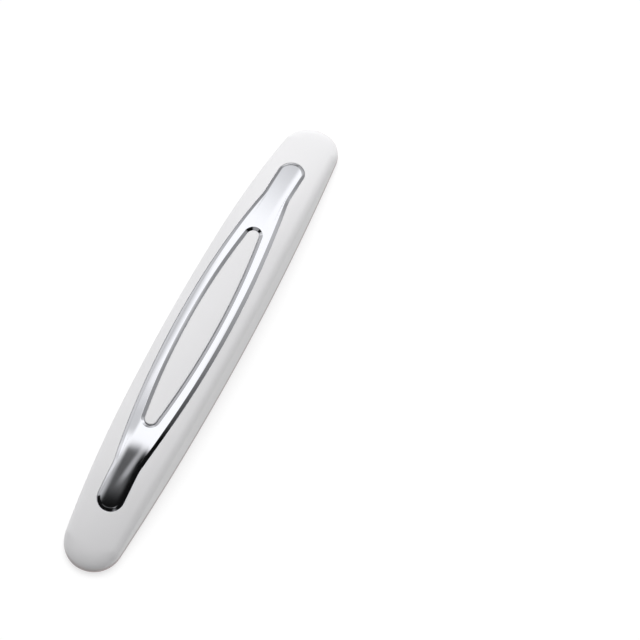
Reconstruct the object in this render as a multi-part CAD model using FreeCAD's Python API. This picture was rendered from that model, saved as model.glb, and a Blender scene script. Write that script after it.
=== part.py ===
import FreeCAD, Part
import math
import os

V = FreeCAD.Vector

# Frame: X along the strip, Y across it, Z up out of its crown.
# The origin is the middle of the underside, so the strip lies on its back at z = 0.

# White body: outline seen from above, two long bowed sides that meet in round noses
body_length = 200.0
body_width = 29.6
nose_radius = 11.2

# White body: crown over the flat back, a flat arc in the middle and a steeper one to each nose
body_height = 17.6
crown_radius = 800.0
crown_reach = 40.0
nose_height = 3.6
cross_crown_radius = 32.0
shoulder_radius = 4.0

# Bright trim: outline seen from above, and the lens-shaped opening of its ring
trim_length = 158.0
trim_width = 20.8
paddle_width = 10.6
paddle_straight = 11.0
trim_neck_radius = 20.0
opening_length = 87.8
opening_width = 10.9
opening_tip_radius = 2.4

# Bright trim: how it sits in its bed in the body
trim_depth = 1.2
trim_proud = 0.3
trim_gap = 0.05
trim_edge_chamfer = 1.1
opening_edge_chamfer = 0.9
pad_edge_chamfer = 0.3

# Foam tape and its liner on the flat back
tape_thickness = 0.8
tape_inset = 0.5
liner_thickness = 0.1
liner_inset = 0.3

back_height = liner_thickness + tape_thickness


# Outlines seen from above, each grown on every side by a margin
def arc_about(centre_x, centre_y, radius, start, end):
    def point(angle):
        turned = math.radians(angle)
        return V(centre_x + radius * math.cos(turned), centre_y + radius * math.sin(turned), 0)

    return Part.Arc(point(start), point((start + end) / 2), point(end))


def lens_outline(length, width, tip_radius, margin):
    # Two long arcs meet in round tips.
    side = width / 2 + margin
    tip = tip_radius + margin
    tip_centre = length / 2 - tip_radius
    bow = (tip_centre ** 2 + side ** 2 - tip ** 2) / (2 * (side - tip))
    turn = math.degrees(math.asin(tip_centre / (bow - tip)))
    return [arc_about(0, side - bow, bow, 90 - turn, 90 + turn),
            arc_about(0, bow - side, bow, 270 - turn, 270 + turn),
            arc_about(tip_centre, 0, tip, turn - 90, 90 - turn),
            arc_about(-tip_centre, 0, tip, 90 + turn, 270 - turn)]


def waisted_outline(length, width, end_width, straight, waist_radius, margin):
    # Each side is a long bowed arc, then a hollow arc, then a straight run to a round end.
    side = width / 2 + margin
    end_radius = end_width / 2 + margin
    end_centre = (length - end_width) / 2
    waist = end_centre - straight
    both_radii = (waist ** 2 + (side - end_radius) ** 2) / (2 * (side - end_radius))
    hollow = waist_radius - margin
    bow = both_radii - hollow
    turn = math.degrees(math.asin(waist / both_radii))
    curves = [arc_about(0, side - bow, bow, 90 - turn, 90 + turn),
              arc_about(0, bow - side, bow, 270 - turn, 270 + turn)]
    for end, facing in ((1, 0), (-1, 180)):
        curves.append(arc_about(end * end_centre, 0, end_radius, facing - 90, facing + 90))
        for flank in (1, -1):
            start = -90 * flank
            curves.append(arc_about(end * waist, flank * (end_radius + hollow), hollow,
                                    start - turn * end * flank, start))
            curves.append(Part.LineSegment(V(end * waist, flank * end_radius, 0),
                                           V(end * end_centre, flank * end_radius, 0)))
    return curves


def column(curves, height):
    edges = [curve.toShape() for curve in curves]
    return Part.Face(Part.Wire(Part.sortEdges(edges)[0])).extrude(V(0, 0, height))


def body_outline(margin):
    return lens_outline(body_length, body_width, nose_radius, margin)


def trim_outline(margin):
    return waisted_outline(trim_length, trim_width, paddle_width, paddle_straight,
                           trim_neck_radius, margin)


def opening_outline(margin):
    return lens_outline(opening_length, opening_width, opening_tip_radius, margin)


# Crown: all that lies under the crowned top, moved up or down by a rise
def raised(shape, rise):
    moved = shape.copy()
    moved.translate(V(0, 0, rise))
    return moved


def crown_section():
    # A slice across the strip, wider and deeper than it, so that the outlines alone bound the pieces
    overhang = 2.0
    half = body_width / 2 + overhang
    depth = 2 * body_height
    sag = cross_crown_radius - math.sqrt(cross_crown_radius ** 2 - half ** 2)
    top = Part.Arc(V(0, -half, -sag), V(0, 0, 0), V(0, half, -sag)).toShape()
    sides = Part.makePolygon([V(0, half, -sag), V(0, half, -depth), V(0, -half, -depth),
                              V(0, -half, -sag)])
    return Part.Face(Part.Wire([top] + sides.Edges))


def under_crown(rise):
    # The slice is swung about the centre of the middle arc, then about that of each end arc.
    # An end arc leaves the middle one smoothly and falls to the nose height at the body's end.
    across = V(0, 1, 0)
    middle_centre = V(0, 0, -crown_radius)
    lean = math.degrees(math.asin(crown_reach / crown_radius))
    joint_fall = crown_radius - math.sqrt(crown_radius ** 2 - crown_reach ** 2)
    run = body_length / 2 - crown_reach
    fall = body_height - nose_height - joint_fall
    bend = math.degrees(math.atan2(fall, run)) - lean
    end_radius = math.hypot(run, fall) / (2 * math.sin(math.radians(bend)))
    past_nose = 1.2
    section = crown_section()
    section.rotate(middle_centre, across, -lean)
    pieces = [section.revolve(middle_centre, across, 2 * lean)]
    for end in (-1, 1):
        joint = V(end * crown_reach, 0, -joint_fall)
        inwards = (middle_centre - joint).normalize()
        pieces.append(section.revolve(joint + inwards * end_radius, across, end * 2 * bend * past_nose))
        section.rotate(middle_centre, across, 2 * lean)
    return raised(pieces[0].fuse(pieces[1:]), body_height + rise)


def top_edges(shape, curves):
    # The edges that run over an outline along the crown, and neither upright nor at a floor under it
    touching = 0.001
    upright_rise = 0.9
    outline = Part.Compound([curve.toShape() for curve in curves])
    below = under_crown(-trim_depth / 2)
    found = []
    for edge in shape.Edges:
        middle = (edge.FirstParameter + edge.LastParameter) / 2
        point = edge.valueAt(middle)
        off_outline = outline.distToShape(Part.Vertex(point.x, point.y, 0))[0]
        upright = abs(edge.tangentAt(middle).z) > upright_rise
        if off_outline < touching and not upright and not below.isInside(point, touching, True):
            found.append(edge)
    return found


# Pieces
def strip_body():
    body = column(body_outline(0), 2 * body_height).common(under_crown(0))
    body = body.makeFillet(shoulder_radius, top_edges(body, body_outline(0)))
    bed = column(trim_outline(trim_gap), 2 * body_height)
    bed = bed.cut(column(opening_outline(-trim_gap), 2 * body_height))
    body = body.cut(bed.cut(under_crown(-trim_depth - trim_gap)))
    body = body.makeChamfer(pad_edge_chamfer, top_edges(body, opening_outline(-trim_gap)))
    return raised(body, back_height)


def chrome_trim():
    trim = column(trim_outline(0), 2 * body_height).cut(column(opening_outline(0), 2 * body_height))
    trim = trim.common(under_crown(trim_proud)).cut(under_crown(-trim_depth))
    trim = trim.makeChamfer(trim_edge_chamfer, top_edges(trim, trim_outline(0)))
    trim = trim.makeChamfer(opening_edge_chamfer, top_edges(trim, opening_outline(0)))
    return raised(trim, back_height)


def adhesive_tape():
    return raised(column(body_outline(-tape_inset), tape_thickness), liner_thickness)


def release_liner():
    return column(body_outline(-liner_inset), liner_thickness)


os.makedirs("parts", exist_ok=True)
for make in (strip_body, chrome_trim, adhesive_tape, release_liner):
    make().exportStep("parts/" + make.__name__ + ".step")
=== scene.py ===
import bmesh
import bpy
import math
from mathutils import Matrix, Vector


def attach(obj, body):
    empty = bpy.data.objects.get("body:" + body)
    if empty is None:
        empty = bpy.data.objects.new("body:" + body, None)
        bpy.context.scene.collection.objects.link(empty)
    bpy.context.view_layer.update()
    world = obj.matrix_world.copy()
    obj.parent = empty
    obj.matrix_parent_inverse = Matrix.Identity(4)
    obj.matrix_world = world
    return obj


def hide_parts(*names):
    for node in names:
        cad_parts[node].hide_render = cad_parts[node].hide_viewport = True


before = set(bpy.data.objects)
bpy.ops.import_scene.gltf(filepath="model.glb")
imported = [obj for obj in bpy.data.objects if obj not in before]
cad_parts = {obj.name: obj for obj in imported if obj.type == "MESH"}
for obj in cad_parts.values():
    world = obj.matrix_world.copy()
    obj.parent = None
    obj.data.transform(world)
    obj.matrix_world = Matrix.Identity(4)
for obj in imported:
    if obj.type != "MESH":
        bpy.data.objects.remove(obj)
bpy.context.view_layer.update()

# Everything is worked out in millimetres, in the part's own frame, and put into metres at the end.
MM = 0.001
RIGHT_ANGLE = math.pi / 2

# White body: outline seen from above, and the crown over its flat back
BODY_LENGTH = 200.0
BODY_WIDTH = 29.6
NOSE_RADIUS = 11.2
BODY_HEIGHT = 17.6
CROWN_RADIUS = 800.0
CROWN_REACH = 40.0
NOSE_HEIGHT = 3.6
CROSS_CROWN_RADIUS = 32.0

# White body: rounded edges. The shoulder's nose form begins and is full where these shares of the
# outward direction point along the strip.
FOOT_RADIUS = 0.25
SHOULDER_RADIUS = 4.0
NOSE_SHOULDER_REACH = 7.5
NOSE_SHOULDER_DROP = 3.1
NOSE_FORM_BEGINS = 0.1
NOSE_FORM_FULL = 0.8

# Bright trim: outline seen from above, the opening of its ring, and how it sits in its bed
TRIM_LENGTH = 158.0
TRIM_WIDTH = 20.8
PADDLE_WIDTH = 10.6
PADDLE_STRAIGHT = 11.0
TRIM_NECK_RADIUS = 20.0
OPENING_LENGTH = 87.8
OPENING_WIDTH = 10.9
OPENING_TIP_RADIUS = 2.4
TRIM_DEPTH = 1.2
TRIM_PROUD = 0.3
TRIM_GAP = 0.05
BED_EDGE_RADIUS = 0.06
PAD_EDGE_RADIUS = 0.3

# Bright trim: bevels. A flat one has a hollow of 1, and a larger hollow runs softly into the top.
TRIM_BEVEL_WIDTH = 1.4
TRIM_BEVEL_DROP = 0.44
TRIM_BEVEL_HOLLOW = 1.25
OPENING_BEVEL_WIDTH = 1.45
OPENING_BEVEL_DROP = 0.76
OPENING_BEVEL_HOLLOW = 1.0
BEVEL_LIP = 0.06
CREST_EDGE = 0.3

# The tape and its liner carry the body this far above the floor.
BACK_HEIGHT = 0.9

# Painted shade along the body's foot, tinted brownish as a painted reflection of the red liner: its
# strength, and how far over the tape it starts to fade and ends
PAINTED_FOOT_SHADE = 0.75
PAINTED_FOOT_SHADE_FADES = 1.0
PAINTED_FOOT_SHADE_ENDS = 2.8

# Mesh fineness: points along a quarter of an outline, and rings or columns over each form
QUARTER_POINTS = 260
WALL_RINGS = 6
SHOULDER_RINGS = 10
TOP_RINGS = 14
EDGE_RINGS = 8
LIP_RINGS = 6
BEVEL_RINGS = 12
CREST_EDGE_RINGS = 3
CREST_RINGS = 28
BACK_COLUMNS = 2
PAD_COLUMNS = 24

# Camera: where it stands and the floor point that it looks at, in millimetres
CAMERA_PLACE = Vector((-310.38, -224.74, 855.53))
CAMERA_AIM = Vector((27.81, -34.69, 0.0))
CAMERA_ROLL = math.radians(-3.445)
FRAME_PIXELS = 640
FOCAL_PIXELS = 2462.8
SENSOR_WIDTH = 36.0
NEAREST_SEEN = 10.0

# Studio: the floor, and the strengths of the two walls that the chrome mirrors
FLOOR_REACH = 3000.0
FLOOR_GREY = (0.3, 0.3, 0.3, 1)
FLOOR_GLOW = 0.73
WHITE_WALL = 1.1
DARK_WALL = 0.005
STREAK_SLANT = 0.87

# Studio: light cards behind the camera, with a strength and reaches ahead, to the left and up
CARD_EDGE = 0.08
LIGHT_CARDS = (
    (0.30, (-0.56, -0.32), (-0.34, 0.50), (0.70, 1.10)),
    (0.60, (-0.92, -0.42), (0.22, 0.85), (0.08, 0.40)),
    (0.60, (-0.30, 0.12), (-1.10, -0.80), (0.08, 0.40)),
    (0.45, (-1.10, -0.74), (0.08, 0.42), (0.22, 0.62)),
)


def shares(count):
    return [(step + 1) / count for step in range(count)]


def between(first, second, share):
    return first + (second - first) * share


def smooth_share(value, start, end):
    """How far a value has come from the start to the end, with a soft beginning and a soft end."""
    share = max(0, min(1, (value - start) / (end - start)))
    return share ** 2 * (3 - 2 * share)


# Outlines seen from above. Each is a chain of arcs and straight runs over one quarter, from the
# end on the long axis to the middle of the side, and it is mirrored to the other three quarters.
class Arc:
    def __init__(self, centre_x, centre_y, radius, start, end):
        self.centre = Vector((centre_x, centre_y))
        self.radius = radius
        self.start = start
        self.end = end
        self.hollow = end < start
        self.length = radius * abs(end - start)

    def at(self, distance):
        turned = self.start + (self.end - self.start) * distance / self.length
        outward = Vector((math.cos(turned), math.sin(turned)))
        point = self.centre + outward * self.radius
        return (point, -outward) if self.hollow else (point, outward)


class Run:
    def __init__(self, start, end):
        self.start = Vector(start)
        self.along = Vector(end) - self.start
        self.length = self.along.length

    def at(self, distance):
        ahead = self.along / self.length
        return self.start + ahead * distance, Vector((ahead.y, -ahead.x))


def mirrored(places, sign_x, sign_y):
    """The same points and outward directions on the other side of an axis, in reverse order."""
    def flipped(vector):
        return Vector((vector.x * sign_x, vector.y * sign_y))

    return [(flipped(point), flipped(outward)) for point, outward in reversed(places)]


def round_the_outline(quarter):
    """Points and outward directions round the whole outline, evenly spaced along each quarter."""
    whole = sum(piece.length for piece in quarter)
    places = []
    for step in range(QUARTER_POINTS + 1):
        remaining = whole * step / QUARTER_POINTS
        for piece in quarter:
            if remaining <= piece.length or piece is quarter[-1]:
                places.append(piece.at(min(remaining, piece.length)))
                break
            remaining -= piece.length
    half = places + mirrored(places[:-1], -1, 1)
    return half + mirrored(half[1:-1], 1, -1)


def lens_outline(length, width, tip_radius):
    side = width / 2
    tip_centre = length / 2 - tip_radius
    bow = (tip_centre ** 2 + side ** 2 - tip_radius ** 2) / (2 * (side - tip_radius))
    turn = math.asin(tip_centre / (bow - tip_radius))
    return round_the_outline([
        Arc(tip_centre, 0, tip_radius, 0, RIGHT_ANGLE - turn),
        Arc(0, side - bow, bow, RIGHT_ANGLE - turn, RIGHT_ANGLE)])


def waisted_outline(length, width, end_width, straight, neck_radius):
    side = width / 2
    end_radius = end_width / 2
    end_centre = (length - end_width) / 2
    waist = end_centre - straight
    both_radii = (waist ** 2 + (side - end_radius) ** 2) / (2 * (side - end_radius))
    bow = both_radii - neck_radius
    turn = math.asin(waist / both_radii)
    return round_the_outline([
        Arc(end_centre, 0, end_radius, 0, RIGHT_ANGLE),
        Run((end_centre, end_radius), (waist, end_radius)),
        Arc(waist, end_radius + neck_radius, neck_radius, -RIGHT_ANGLE, -RIGHT_ANGLE - turn),
        Arc(0, side - bow, bow, RIGHT_ANGLE - turn, RIGHT_ANGLE)])


body_outline = lens_outline(BODY_LENGTH, BODY_WIDTH, NOSE_RADIUS)
trim_outline = waisted_outline(TRIM_LENGTH, TRIM_WIDTH, PADDLE_WIDTH, PADDLE_STRAIGHT,
                               TRIM_NECK_RADIUS)
opening_outline = lens_outline(OPENING_LENGTH, OPENING_WIDTH, OPENING_TIP_RADIUS)


def moved(outline, margin):
    return [point + outward * margin for point, outward in outline]


# Crown: a flat arc in the middle runs smoothly into a steeper arc that falls to each nose.
JOINT_FALL = CROWN_RADIUS - math.sqrt(CROWN_RADIUS ** 2 - CROWN_REACH ** 2)
JOINT_LEAN = math.asin(CROWN_REACH / CROWN_RADIUS)
END_RUN = BODY_LENGTH / 2 - CROWN_REACH
END_FALL = BODY_HEIGHT - NOSE_HEIGHT - JOINT_FALL
END_BEND = math.atan2(END_FALL, END_RUN) - JOINT_LEAN
END_RADIUS = math.hypot(END_RUN, END_FALL) / (2 * math.sin(END_BEND))
END_CENTRE = Vector((CROWN_REACH - END_RADIUS * math.sin(JOINT_LEAN),
                     -JOINT_FALL - END_RADIUS * math.cos(JOINT_LEAN)))


def crown_fall(x):
    """How far the crown's ridge lies under its highest point, and the sine of its slope."""
    reach = abs(x)
    if reach <= CROWN_REACH:
        return CROWN_RADIUS - math.sqrt(CROWN_RADIUS ** 2 - reach ** 2), reach / CROWN_RADIUS
    out = reach - END_CENTRE.x
    return -END_CENTRE.y - math.sqrt(END_RADIUS ** 2 - out ** 2), out / END_RADIUS


def crown(point):
    """Height of the crowned top over a place: the cross curve is square to the ridge."""
    fall, lean = crown_fall(point.x)
    sag = CROSS_CROWN_RADIUS - math.sqrt(CROSS_CROWN_RADIUS ** 2 - point.y ** 2)
    return BACK_HEIGHT + BODY_HEIGHT - fall - sag * math.sqrt(1 - lean ** 2)


def steepness(point, outward):
    """Angle at which the crown falls away in one direction."""
    step = 0.01
    return math.atan2(crown(point) - crown(point + outward * step), step)


def crown_normal(point):
    ahead = math.tan(steepness(point, Vector((1, 0, 0))))
    aside = math.tan(steepness(point, Vector((0, 1, 0))))
    return Vector((ahead, aside, 1)).normalized()


def over_crown(points, rise):
    return [(point.x, point.y, crown(point) + rise) for point in points]


def laid_flat(points, height):
    return [(point.x, point.y, height) for point in points]


# Meshes are built ring by ring, and each ring has one point for each place of its outline.
INWARDS = -1
OUTWARDS = 1


class Build:
    def __init__(self, name):
        self.name = name
        self.mesh = bmesh.new()

    def point(self, x, y, z):
        return self.mesh.verts.new((x * MM, y * MM, z * MM))

    def ring(self, places):
        return [self.point(*place) for place in places]

    def join(self, first, second):
        count = len(first)
        for i in range(count):
            k = (i + 1) % count
            self.mesh.faces.new((first[i], first[k], second[k], second[i]))

    def add(self, last, places):
        """Adds a ring, joins it to the last one, and returns it."""
        ring = self.ring(places)
        self.join(last, ring)
        return ring

    def climb(self, last, steps, outline, wall, way, rise):
        """Adds a ring for each step over an edge that starts at a wall and runs inwards or outwards."""
        for inset, down in steps:
            last = self.add(last, over_crown(moved(outline, wall + way * inset), rise - down))
        return last

    def spread(self, last, first, second, count, rise):
        """Adds rings over the crown from one row of points to another, short of the second row."""
        for share in shares(count)[:-1]:
            points = [start.lerp(end, share) for start, end in zip(first, second)]
            last = self.add(last, over_crown(points, rise))
        return last

    def across(self, ring, columns, height):
        """Fills a ring from its upper half to the mirrored points of its lower half."""
        half = len(ring) // 2
        rows = [[ring[0]] * (columns + 1)]
        for i in range(1, half):
            start, end = ring[i], ring[-i]
            row = [start]
            for k in range(1, columns):
                place = start.co.lerp(end.co, k / columns) / MM
                row.append(self.point(place.x, place.y, height(place)))
            rows.append(row + [end])
        rows.append([ring[half]] * (columns + 1))
        for lower, upper in zip(rows, rows[1:]):
            for k in range(columns):
                corners = []
                for corner in (lower[k], upper[k], upper[k + 1], lower[k + 1]):
                    if corner not in corners:
                        corners.append(corner)
                self.mesh.faces.new(corners)

    def finish(self, finish, slot, node):
        bmesh.ops.recalc_face_normals(self.mesh, faces=self.mesh.faces)
        data = bpy.data.meshes.new(self.name)
        self.mesh.to_mesh(data)
        self.mesh.free()
        data.shade_smooth()
        data.materials.append(finish)
        piece = bpy.data.objects.new(self.name, data)
        bpy.context.scene.collection.objects.link(piece)
        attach(piece, "root")
        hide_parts(node)
        return piece


# Node materials. Arithmetic on a Level adds Math nodes, and every other node comes from Tree.node.
class Level:
    def __init__(self, tree, socket):
        self.tree = tree
        self.socket = socket

    def with_maths(self, operation, first, second):
        made = self.tree.node("ShaderNodeMath", {"operation": operation}, {0: first, 1: second})
        return Level(self.tree, made.outputs[0])

    def __add__(self, other):
        return self.with_maths("ADD", self, other)

    def __sub__(self, other):
        return self.with_maths("SUBTRACT", self, other)

    def __mul__(self, other):
        return self.with_maths("MULTIPLY", self, other)

    def __rsub__(self, other):
        return self.with_maths("SUBTRACT", other, self)

    __radd__ = __add__
    __rmul__ = __mul__


class Tree:
    def __init__(self, tree):
        self.tree = tree
        tree.nodes.clear()

    def node(self, kind, settings, inputs):
        made = self.tree.nodes.new(kind)
        for name, value in settings.items():
            setattr(made, name, value)
        for name, value in inputs.items():
            if isinstance(value, Level):
                value = value.socket
            if isinstance(value, bpy.types.NodeSocket):
                self.tree.links.new(value, made.inputs[name])
            else:
                made.inputs[name].default_value = value
        return made

    def level(self, kind, settings, inputs, output=0):
        return Level(self, self.node(kind, settings, inputs).outputs[output])


def material(name):
    made = bpy.data.materials.new(name)
    made.use_nodes = True
    return made, Tree(made.node_tree)


def places_in_mm(tree):
    place = tree.node("ShaderNodeTexCoord", {}, {})
    return tree.node("ShaderNodeVectorMath", {"operation": "SCALE"},
                     {"Vector": place.outputs["Object"], "Scale": 1 / MM}).outputs["Vector"]


def noise(tree, where, size, detail, roughness):
    """Cloudy variation, with patches of about that size in millimetres."""
    return tree.level("ShaderNodeTexNoise", {}, {
        "Vector": where, "Scale": 1 / size, "Detail": detail, "Roughness": roughness})


def soft_step(tree, level, start, end):
    """None up to the start, one from the end on, and a soft rise between them."""
    return tree.level("ShaderNodeMapRange", {"interpolation_type": "SMOOTHSTEP"},
                      {"Value": level, "From Min": start, "From Max": end})


# Sockets of the Mix node for colours: its factor, the two colours, and the result
MIX_FACTOR, MIX_FIRST, MIX_SECOND, MIX_RESULT = 0, 6, 7, 2


def mixed(tree, factor, first, second):
    made = tree.node("ShaderNodeMix", {"data_type": "RGBA"},
                     {MIX_FACTOR: factor, MIX_FIRST: first, MIX_SECOND: second})
    return made.outputs[MIX_RESULT]


def bumped(tree, height, depth):
    """Small waves in the surface, up to that depth in millimetres."""
    made = tree.node("ShaderNodeBump", {}, {"Height": height, "Distance": depth * MM})
    return made.outputs["Normal"]


def surface(tree, inputs):
    shader = tree.node("ShaderNodeBsdfPrincipled", {}, inputs)
    tree.node("ShaderNodeOutputMaterial", {}, {"Surface": shader.outputs[0]})


def satin_white():
    made, tree = material("satin_white_plastic")
    where = places_in_mm(tree)
    clouds = noise(tree, where, size=22, detail=3, roughness=0.5)
    grain = noise(tree, where, size=0.35, detail=2, roughness=0.6)
    white = mixed(tree, clouds, (0.765, 0.761, 0.767, 1), (0.805, 0.80, 0.807, 1))
    # Painted shade and painted reflection: the white darkens towards brown near the foot, standing in
    # for contact shade and the red liner's reflection
    painted_foot_brown = (0.42, 0.35, 0.34, 1)
    height = tree.level("ShaderNodeSeparateXYZ", {}, {"Vector": where}, "Z")
    painted_foot_shade = 1 - soft_step(tree, height, BACK_HEIGHT + PAINTED_FOOT_SHADE_FADES, BACK_HEIGHT + PAINTED_FOOT_SHADE_ENDS)
    surface(tree, {
        "Base Color": mixed(tree, painted_foot_shade * PAINTED_FOOT_SHADE, white, painted_foot_brown),
        "Roughness": 0.36 + clouds * 0.08 + grain * 0.05,
        "Normal": bumped(tree, grain, depth=0.006)})
    return made


def bright_chrome():
    made, tree = material("bright_chrome")
    where = places_in_mm(tree)
    waves = noise(tree, where, size=9, detail=1, roughness=0.4)
    smears = noise(tree, where, size=3, detail=4, roughness=0.6)
    surface(tree, {
        "Base Color": mixed(tree, smears, (0.885, 0.89, 0.925, 1), (0.91, 0.915, 0.94, 1)),
        "Metallic": 1.0,
        "Roughness": 0.05 + smears * 0.05,
        "Normal": bumped(tree, waves, depth=0.02)})
    return made


def grey_foam():
    made, tree = material("grey_foam")
    where = places_in_mm(tree)
    cell_size = 0.2
    cells = tree.level("ShaderNodeTexVoronoi", {}, {"Vector": where, "Scale": 1 / cell_size})
    clouds = noise(tree, where, size=1.5, detail=3, roughness=0.6)
    surface(tree, {
        "Base Color": mixed(tree, clouds, (0.16, 0.15, 0.15, 1), (0.24, 0.23, 0.23, 1)),
        "Roughness": 0.8 + cells * 0.2,
        "Normal": bumped(tree, cells, depth=0.05)})
    return made


def red_film():
    made, tree = material("red_film")
    where = places_in_mm(tree)
    creases = noise(tree, where, size=12, detail=2, roughness=0.5)
    specks = noise(tree, where, size=0.8, detail=2, roughness=0.5)
    surface(tree, {
        "Base Color": mixed(tree, specks, (0.36, 0.02, 0.02, 1), (0.44, 0.035, 0.03, 1)),
        "Roughness": 0.22 + specks * 0.12,
        "Normal": bumped(tree, creases, depth=0.12)})
    return made


# Pieces
def rolled_edge(radius):
    """Steps over a rounded edge, from its wall to the top: how far in, and how far down."""
    turns = [RIGHT_ANGLE * share for share in [0] + shares(EDGE_RINGS)]
    return [(radius * (1 - math.cos(turn)), radius * (1 - math.sin(turn))) for turn in turns]


def bevelled_edge(width, drop, hollow):
    """Steps over a bevel with a rolled lip, from its wall to the top: how far in, and how far down."""
    lip = rolled_edge(BEVEL_LIP)[:LIP_RINGS]
    lip_inset = lip[-1][0]
    steps = [(inset, drop + down) for inset, down in lip]
    for share in shares(BEVEL_RINGS):
        steps.append((between(lip_inset, width, share), drop * (1 - share) ** hollow))
    return steps + [(width + CREST_EDGE * share, 0) for share in shares(CREST_EDGE_RINGS)]


def shoulder_places(point, outward):
    """The body's skin over one place of its outline, from the wall's top to where the crown begins.

    It is a round shoulder along the sides, and reaches further over the crown at the noses. Its
    curve leaves the wall and meets the crown smoothly, drawn to the corner that they would make.
    """
    fall = steepness(point - outward * SHOULDER_RADIUS / 2, outward)
    reach = SHOULDER_RADIUS * math.tan((RIGHT_ANGLE - fall) / 2)
    at_nose = smooth_share(abs(outward.x), NOSE_FORM_BEGINS, NOSE_FORM_FULL)
    over = between(reach * math.cos(fall), NOSE_SHOULDER_REACH, at_nose)
    down = between(reach, NOSE_SHOULDER_DROP, at_nose)
    contact = point - outward * over
    fall = steepness(contact, outward)
    corner = crown(contact) - over * math.tan(fall)
    pull = math.cos((RIGHT_ANGLE - fall) / 2)
    places = []
    for share in [0] + shares(SHOULDER_RINGS):
        start, middle, end = (1 - share) ** 2, 2 * pull * share * (1 - share), share ** 2
        whole = start + middle + end
        place = point - outward * over * end / whole
        height = (start * (corner - down) + middle * corner + end * crown(contact)) / whole
        places.append((place.x, place.y, height))
    return places, contact


def strip_body(finish):
    build = Build("moulding_body")
    skins = [shoulder_places(point, outward) for point, outward in body_outline]
    last = build.ring(laid_flat(moved(body_outline, -FOOT_RADIUS), BACK_HEIGHT))
    build.across(last, BACK_COLUMNS, lambda place: BACK_HEIGHT)
    for rise, inset in rolled_edge(FOOT_RADIUS)[1:]:
        last = build.add(last, laid_flat(moved(body_outline, -inset), BACK_HEIGHT + rise))
    wall_tops = [places[0] for places, contact in skins]
    for share in shares(WALL_RINGS):
        last = build.add(last, [(x, y, between(BACK_HEIGHT + FOOT_RADIUS, top, share))
                                for x, y, top in wall_tops])
    for step in range(1, SHOULDER_RINGS + 1):
        last = build.add(last, [places[step] for places, contact in skins])
    contacts = [contact for places, contact in skins]
    bed_rim = moved(trim_outline, TRIM_GAP + BED_EDGE_RADIUS)
    last = build.spread(last, contacts, bed_rim, TOP_RINGS, 0)
    bed_edge = reversed(rolled_edge(BED_EDGE_RADIUS))
    last = build.climb(last, bed_edge, trim_outline, TRIM_GAP, OUTWARDS, 0)
    for outline, margin in ((trim_outline, TRIM_GAP), (opening_outline, -TRIM_GAP)):
        last = build.add(last, over_crown(moved(outline, margin), -TRIM_DEPTH - TRIM_GAP))
    pad_edge = rolled_edge(PAD_EDGE_RADIUS)
    last = build.climb(last, pad_edge, opening_outline, -TRIM_GAP, INWARDS, 0)
    build.across(last, PAD_COLUMNS, crown)
    build.finish(finish, "white_body", "strip_body")


def smooth_crest(data, rise):
    """Gives all points that lie at one rise over the crown its exact normal, for a clean mirror."""
    touching = 0.0005
    normals = []
    for vertex in data.vertices:
        place = vertex.co / MM
        on_crest = abs(place.z - crown(place) - rise) < touching
        normals.append(crown_normal(place) if on_crest else vertex.normal)
    data.normals_split_custom_set_from_vertices(normals)


def chrome_trim(finish):
    build = Build("chrome_frame")
    outer_bevel = bevelled_edge(TRIM_BEVEL_WIDTH, TRIM_BEVEL_DROP, TRIM_BEVEL_HOLLOW)
    inner_bevel = bevelled_edge(OPENING_BEVEL_WIDTH, OPENING_BEVEL_DROP, OPENING_BEVEL_HOLLOW)
    crest_outside = moved(trim_outline, -TRIM_BEVEL_WIDTH - CREST_EDGE)
    crest_inside = moved(opening_outline, OPENING_BEVEL_WIDTH + CREST_EDGE)
    under = build.ring(over_crown(moved(trim_outline, 0), -TRIM_DEPTH))
    last = build.climb(under, outer_bevel, trim_outline, 0, INWARDS, TRIM_PROUD)
    last = build.spread(last, crest_outside, crest_inside, CREST_RINGS, TRIM_PROUD)
    last = build.climb(last, reversed(inner_bevel), opening_outline, 0, OUTWARDS, TRIM_PROUD)
    last = build.add(last, over_crown(moved(opening_outline, 0), -TRIM_DEPTH))
    build.join(last, under)
    piece = build.finish(finish, "bright_trim", "chrome_trim")
    smooth_crest(piece.data, TRIM_PROUD)


strip_body(satin_white())
chrome_trim(bright_chrome())
for node, finish in (("adhesive_tape", grey_foam()), ("release_liner", red_film())):
    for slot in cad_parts[node].material_slots:
        slot.material = finish


# Stage
def photograph_camera():
    data = bpy.data.cameras.new("camera")
    data.sensor_width = SENSOR_WIDTH
    data.lens = FOCAL_PIXELS * SENSOR_WIDTH / FRAME_PIXELS
    data.clip_start = NEAREST_SEEN * MM
    camera = bpy.data.objects.new("camera", data)
    bpy.context.scene.collection.objects.link(camera)
    forward = (CAMERA_AIM - CAMERA_PLACE).normalized()
    level_right = forward.cross(Vector((0, 0, 1))).normalized()
    right = Matrix.Rotation(-CAMERA_ROLL, 3, forward) @ level_right
    up = right.cross(forward)
    turned = Matrix((right, up, -forward)).transposed().to_4x4()
    camera.matrix_world = Matrix.Translation(CAMERA_PLACE * MM) @ turned
    bpy.context.scene.camera = camera


def pale_floor():
    reach = FLOOR_REACH * MM
    corners = [(-reach, -reach, 0), (reach, -reach, 0), (reach, reach, 0), (-reach, reach, 0)]
    data = bpy.data.meshes.new("floor")
    data.from_pydata(corners, [], [(0, 1, 2, 3)])
    made, tree = material("pale_floor")
    surface(tree, {
        "Base Color": FLOOR_GREY, "Roughness": 1.0, "Specular IOR Level": 0.0,
        "Emission Color": (1, 1, 1, 1), "Emission Strength": FLOOR_GLOW})
    data.materials.append(made)
    floor = bpy.data.objects.new("floor", data)
    bpy.context.scene.collection.objects.link(floor)


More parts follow.
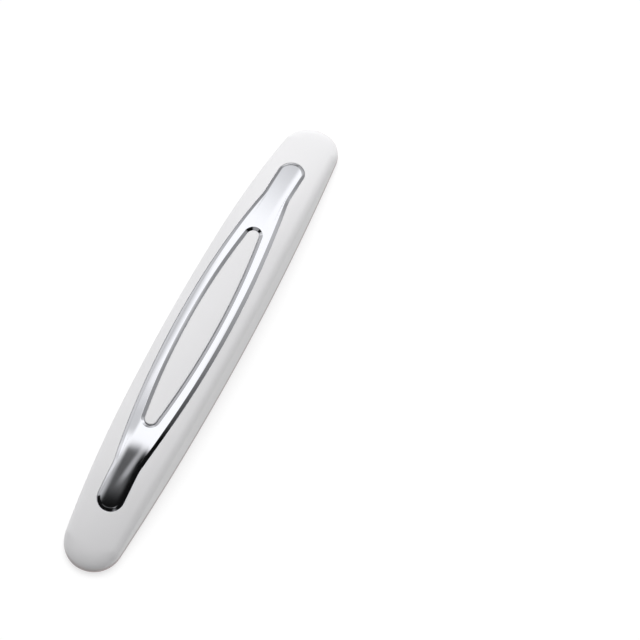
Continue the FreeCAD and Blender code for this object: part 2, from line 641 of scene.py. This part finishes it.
def studio_room():
    """The room that the chrome mirrors: white ahead of the strip, and dark behind the camera.

    A direction in it has three parts, ahead along the strip, left across it, and up. Every light
    and shade starts and ends softly, between two values of one of these parts.
    """
    world = bpy.data.worlds.new("studio")
    world.use_nodes = True
    tree = Tree(world.node_tree)
    facing = tree.node("ShaderNodeTexCoord", {}, {})
    parts = tree.node("ShaderNodeSeparateXYZ", {}, {"Vector": facing.outputs["Generated"]})
    ahead, left, up = (Level(tree, part) for part in parts.outputs)

    def rises(part, start, end):
        return soft_step(tree, part, start, end)

    def falls(part, start, end):
        return 1 - rises(part, start, end)

    def card(strength, *reaches):
        light = strength
        for part, (start, end) in zip((ahead, left, up), reaches):
            light = light * rises(part, start, start + CARD_EDGE) * falls(part, end - CARD_EDGE, end)
        return light

    in_front = rises(ahead, 0.03, 0.078)
    on_left = rises(left, -0.39, -0.24)

    # White wall: each shade takes a share of its light.
    far_shade = 0.42 * rises(ahead, 0.5, 0.85) * rises(left, 0.09, 0.18)
    side_shade = 0.56 * rises(left, 0.60, 0.74) - 0.14 * rises(left, 0.80, 0.92)
    patch = 0.42 * rises(left, 0.40, 0.46) * falls(left, 0.62, 0.75)
    patch = patch * rises(ahead, 0.08, 0.13) * falls(ahead, 0.20, 0.28)
    low_shade = 0.35 * rises(ahead, 0.35, 0.60) * falls(up, 0.15, 0.45)
    end_shade = 0.45 * rises(ahead, 0.80, 0.90)
    white = WHITE_WALL * in_front * on_left
    for shade in (far_shade, side_shade, patch, low_shade, end_shade):
        white = white * (1 - shade)
    right_side = (0.50 * rises(ahead, 0.05, 0.56) - 0.22 * rises(ahead, 0.61, 0.72)) * (1 - on_left)

    # Dark wall: the lights on it add up.
    slanted = left + STREAK_SLANT * ahead
    haze = 0.10 * rises(ahead, -0.21, -0.11) * rises(left, 0.02, 0.13)
    streak = 0.30 * rises(ahead, -0.15, -0.05) * rises(slanted, 0.03, 0.09) * falls(slanted, 0.13, 0.21)
    pale_side = (0.47 + 0.50 * rises(ahead, -0.06, 0.035)) * rises(ahead, -0.225, -0.17)
    pale_side = pale_side * rises(left, 0.36, 0.49) * (1 - 0.25 * rises(left, 0.70, 0.85))
    rear = 0.22 * falls(ahead, -0.66, -0.50) * falls(left, -0.35, -0.15) * rises(up, 0.15, 0.35)
    lights = [haze, streak, pale_side, rear] + [card(*values) for values in LIGHT_CARDS]
    dark = (1 - in_front) * sum(lights, DARK_WALL)

    glow = tree.node("ShaderNodeBackground", {}, {
        "Color": (0.98, 0.985, 1.0, 1), "Strength": white + right_side + dark})
    tree.node("ShaderNodeOutputWorld", {}, {"Surface": glow.outputs[0]})
    bpy.context.scene.world = world


def soft_light(name, towards, strength, spread):
    """A wide soft lamp over the object, which lights it and isn't mirrored in it."""
    data = bpy.data.lights.new(name, "SUN")
    data.energy = strength
    data.angle = math.radians(spread)
    lamp = bpy.data.objects.new(name, data)
    lamp.rotation_euler = Vector(towards).to_track_quat("Z", "Y").to_euler()
    lamp.visible_glossy = False
    bpy.context.scene.collection.objects.link(lamp)


bpy.context.scene.view_settings.view_transform = "Standard"
photograph_camera()
pale_floor()
studio_room()
soft_light("key_lamp", towards=(0.49, 0.10, 0.865), strength=2.1, spread=40)
